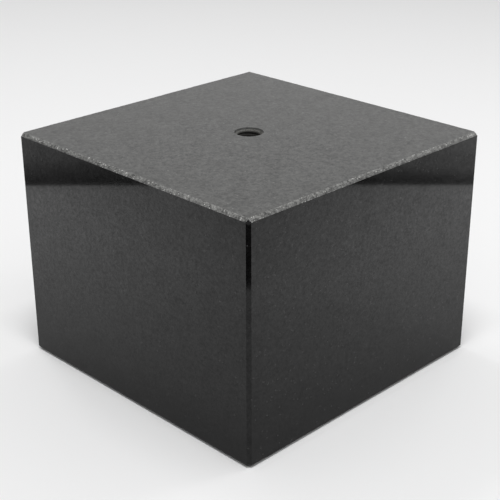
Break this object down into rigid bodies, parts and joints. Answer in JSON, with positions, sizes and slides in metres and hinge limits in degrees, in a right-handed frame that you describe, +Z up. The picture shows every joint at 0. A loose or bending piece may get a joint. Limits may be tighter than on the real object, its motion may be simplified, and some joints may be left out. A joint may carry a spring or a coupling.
{
  "type": "granite slab",
  "caption": "Square block of dark polished granite with bevelled edges, a satin top face and a metal threaded insert bonded into its centre.",
  "frame": {"origin": "centre of the flat underside", "axes": "+Z up, along the axis of the threaded insert; X and Y square to the upright sides"},
  "size_m": [0.1, 0.1, 0.075],
  "materials": {
    "black_granite": "polished sides, satin top, ground bevels",
    "dull_steel": "turned and left dull",
    "cured_epoxy": "dark cured adhesive"
  },
  "bodies": {
    "root": {"granite_block": "black_granite", "threaded_insert": "dull_steel", "epoxy_bond": "cured_epoxy"}
  },
  "joints": []
}
